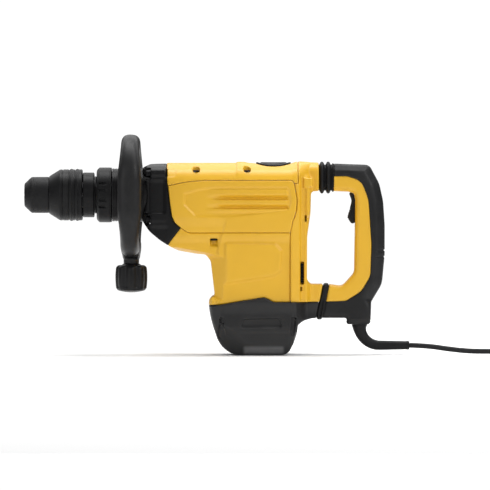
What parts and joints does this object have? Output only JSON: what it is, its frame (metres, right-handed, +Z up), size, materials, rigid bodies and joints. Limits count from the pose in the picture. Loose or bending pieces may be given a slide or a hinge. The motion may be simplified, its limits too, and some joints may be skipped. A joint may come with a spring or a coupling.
{
  "type": "demolition hammer",
  "caption": "Corded demolition hammer with a vertical motor, a splined bit chuck, a clamped hand loop at the nose and a spring-damped D-shaped rear handle with a trigger.",
  "frame": {"origin": "on the surface that the base stands on, under the middle of the tool (between the dust cap face and the back of the rear handle), in its plane of symmetry; the cord and its coil are not counted", "axes": "+X from the nose to the rear handle, +Z up, +Y completes a right-handed frame; the plane Y = 0 is the plane of symmetry of the tool"},
  "size_m": [0.8171, 0.2298, 0.319],
  "materials": {
    "shell_yellow": "fine moulded texture, satin",
    "plastic_black": "fine moulded texture, satin",
    "grip_black": "soft overmould, low sheen",
    "rubber_black": "matt rubber",
    "cord_rubber": "smooth rubber sheath",
    "steel_dark": "black oxide",
    "steel_bright": "ground",
    "alu_black": "black painted casting",
    "alu_plain": "as cast",
    "bronze": "sintered",
    "copper": "turned copper",
    "carbon": "pressed carbon"
  },
  "bodies": {
    "housing": {"barrel": "alu_black", "front_bush": "bronze", "nose_housing": "plastic_black", "nose_screws": "steel_dark", "top_cover": "shell_yellow", "crankcase_cap": "plastic_black", "side_panel_left": "shell_yellow", "side_panel_right": "shell_yellow", "motor_housing_left": "shell_yellow", "motor_housing_right": "shell_yellow", "housing_screws": "steel_dark", "base_cap": "plastic_black", "base_screws": "steel_dark", "rear_frame": "shell_yellow", "vent_louvres": "plastic_black", "pivot_pin": "steel_bright", "crankcase": "alu_plain", "cylinder": "steel_bright", "crank_bearing": "steel_bright", "motor_bearings": "steel_bright", "stator": "steel_dark", "brush_holders": "copper", "carbon_brushes": "carbon"},
    "chuck": {"tool_holder": "steel_dark", "locking_bars": "steel_bright", "dust_cap": "rubber_black", "chuck_retainer": "plastic_black"},
    "anvil": {"anvil": "steel_bright"},
    "locking_sleeve": {"locking_sleeve": "plastic_black", "sleeve_spring": "steel_bright"},
    "index_collar": {"index_collar": "plastic_black"},
    "side_handle": {"side_handle_loop": "grip_black", "clamp_band": "plastic_black", "clamp_bolt": "steel_bright"},
    "clamp_knob": {"clamp_knob": "plastic_black"},
    "crank": {"crank_gear": "steel_bright", "crankshaft": "steel_bright"},
    "connecting_rod": {"connecting_rod": "steel_bright", "wrist_pin": "steel_bright"},
    "armature": {"motor_shaft": "steel_bright", "armature_core": "steel_dark", "commutator": "copper", "fan": "plastic_black"},
    "piston": {"piston": "alu_plain"},
    "ram": {"ram": "steel_bright"},
    "rear_handle": {"grip_overmould": "grip_black", "rear_handle_left": "shell_yellow", "rear_handle_right": "shell_yellow", "handle_screws": "steel_dark", "switch": "plastic_black", "upper_bellows": "rubber_black", "lower_boot": "rubber_black", "damper_spring": "steel_bright", "trigger_pin": "steel_bright", "strain_relief": "rubber_black", "cord_run": "cord_rubber", "cord_coil": "cord_rubber", "cord_tie": "plastic_black", "plug": "cord_rubber"},
    "trigger": {"trigger": "plastic_black"}
  },
  "joints": [
    {"name": "chuck_turn", "type": "hinge", "parent": "housing", "child": "chuck", "pos_m": [-0.15, 0, 0.2315], "axis": [1, 0, 0], "continuous": true},
    {"name": "sleeve_slide", "type": "slide", "parent": "chuck", "child": "locking_sleeve", "axis": [1, 0, 0], "range_m": [0, 0.008], "stiffness_N_per_m": 1500, "springref_m": -0.004, "deforming": ["sleeve_spring"]},
    {"name": "collar_slide", "type": "slide", "parent": "chuck", "child": "index_collar", "axis": [-1, 0, 0], "range_m": [0, 0.0025], "stiffness_N_per_m": 1500, "springref_m": -0.004},
    {"name": "anvil_slide", "type": "slide", "parent": "chuck", "child": "anvil", "axis": [-1, 0, 0], "range_m": [0, 0.004]},
    {"name": "side_handle_swing", "type": "hinge", "parent": "housing", "child": "side_handle", "pos_m": [-0.10725, 0, 0.2315], "axis": [1, 0, 0], "continuous": true},
    {"name": "knob_turn", "type": "hinge", "parent": "side_handle", "child": "clamp_knob", "pos_m": [-0.10625, 0, 0.115], "axis": [0, 0, 1], "range_deg": [0, 720]},
    {"name": "crank_turn", "type": "hinge", "parent": "housing", "child": "crank", "pos_m": [0.1022, 0, 0.19], "axis": [0, 0, 1], "continuous": true},
    {"name": "armature_turn", "type": "hinge", "parent": "housing", "child": "armature", "pos_m": [0.0735, 0, 0.12], "axis": [0, 0, 1], "continuous": true},
    {"name": "rod_swing", "type": "hinge", "parent": "crank", "child": "connecting_rod", "pos_m": [0.0912, 0, 0.2315], "axis": [0, 0, 1], "continuous": true},
    {"name": "piston_slide", "type": "slide", "parent": "housing", "child": "piston", "axis": [1, 0, 0], "range_m": [0, 0.022]},
    {"name": "ram_slide", "type": "slide", "parent": "housing", "child": "ram", "axis": [1, 0, 0], "range_m": [-0.012, 0.01]},
    {"name": "rear_handle_float", "type": "hinge", "parent": "housing", "child": "rear_handle", "pos_m": [0.1745, 0, 0.076], "axis": [0, 1, 0], "range_deg": [-1.5, 0], "stiffness_Nm_per_rad": 400, "springref_deg": 1.72, "deforming": ["upper_bellows", "lower_boot", "damper_spring"]},
    {"name": "trigger_pull", "type": "hinge", "parent": "rear_handle", "child": "trigger", "pos_m": [0.223, 0, 0.234], "axis": [0, 1, 0], "range_deg": [-8, 0], "stiffness_Nm_per_rad": 0.6, "springref_deg": 17.19}
  ],
  "couplings": [
    {"joint": "armature_turn", "follows": "crank_turn", "ratio": -4.8571},
    {"joint": "rod_swing", "follows": "crank_turn", "ratio": -1}
  ]
}
